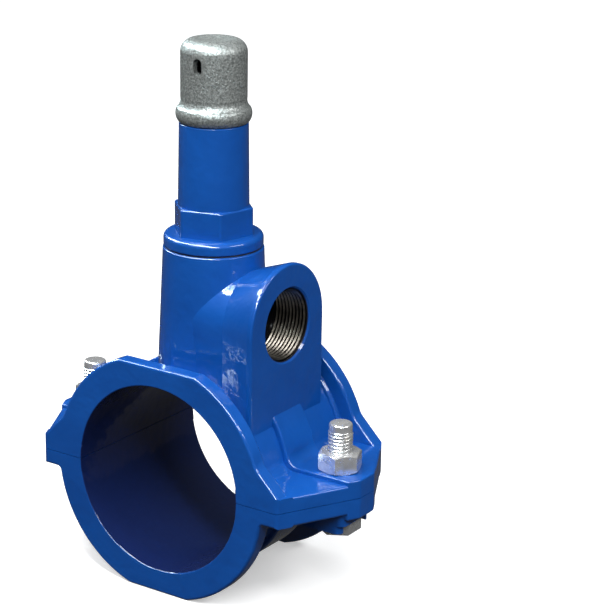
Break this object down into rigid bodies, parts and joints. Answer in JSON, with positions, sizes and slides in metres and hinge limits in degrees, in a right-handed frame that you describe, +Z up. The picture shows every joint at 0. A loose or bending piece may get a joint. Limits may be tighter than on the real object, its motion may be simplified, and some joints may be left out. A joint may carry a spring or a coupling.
{
  "type": "tapping saddle with built-in valve",
  "caption": "Two-part cast clamp saddle for a plastic water main, with a threaded side outlet and a screw-down cutter valve turned by a cap on top.",
  "frame": {"origin": "centre of the pipe bore, midway along the saddle", "axes": "+Y along the pipe, +X out of the threaded outlet, +Z up the tower and valve spindle"},
  "size_m": [0.213, 0.107, 0.3118],
  "materials": {
    "blue_epoxy": "glossy epoxy coat",
    "rubber": "matte",
    "brass": "machined",
    "spring_steel": "dark, oiled",
    "stainless": "machined",
    "galvanised": "hot-dip galvanised",
    "zinc_plated": "zinc plated"
  },
  "bodies": {
    "saddle": {"upper_saddle": "blue_epoxy", "lower_saddle": "blue_epoxy", "branch_gasket": "rubber", "bonnet": "blue_epoxy", "bonnet_gasket": "rubber", "lower_o_ring": "rubber", "upper_o_ring": "rubber", "spindle_nut": "brass", "nut_retaining_ring": "spring_steel", "thrust_washer": "brass", "top_bush": "brass", "bush_retaining_ring": "spring_steel", "bolt_left": "zinc_plated", "bolt_right": "zinc_plated", "nut_left": "zinc_plated", "nut_right": "zinc_plated"},
    "drive": {"drive_shaft": "stainless", "drive_cap": "galvanised", "cap_pin": "stainless"},
    "cutter": {"cutter_spindle": "stainless", "plug_washer": "stainless", "closing_plug": "rubber", "core_cutter": "stainless", "cutter_nut": "stainless"}
  },
  "joints": [
    {"name": "cap_turn", "type": "hinge", "parent": "saddle", "child": "drive", "pos_m": [0, 0, 0.22], "axis": [0, 0, 1], "range_deg": [-4680, 0]},
    {"name": "spindle_feed", "type": "slide", "parent": "drive", "child": "cutter", "axis": [0, 0, 1], "range_m": [-0.03905, 0]}
  ],
  "couplings": [
    {"joint": "spindle_feed", "follows": "cap_turn", "m_per_rad": 0.00047746}
  ]
}
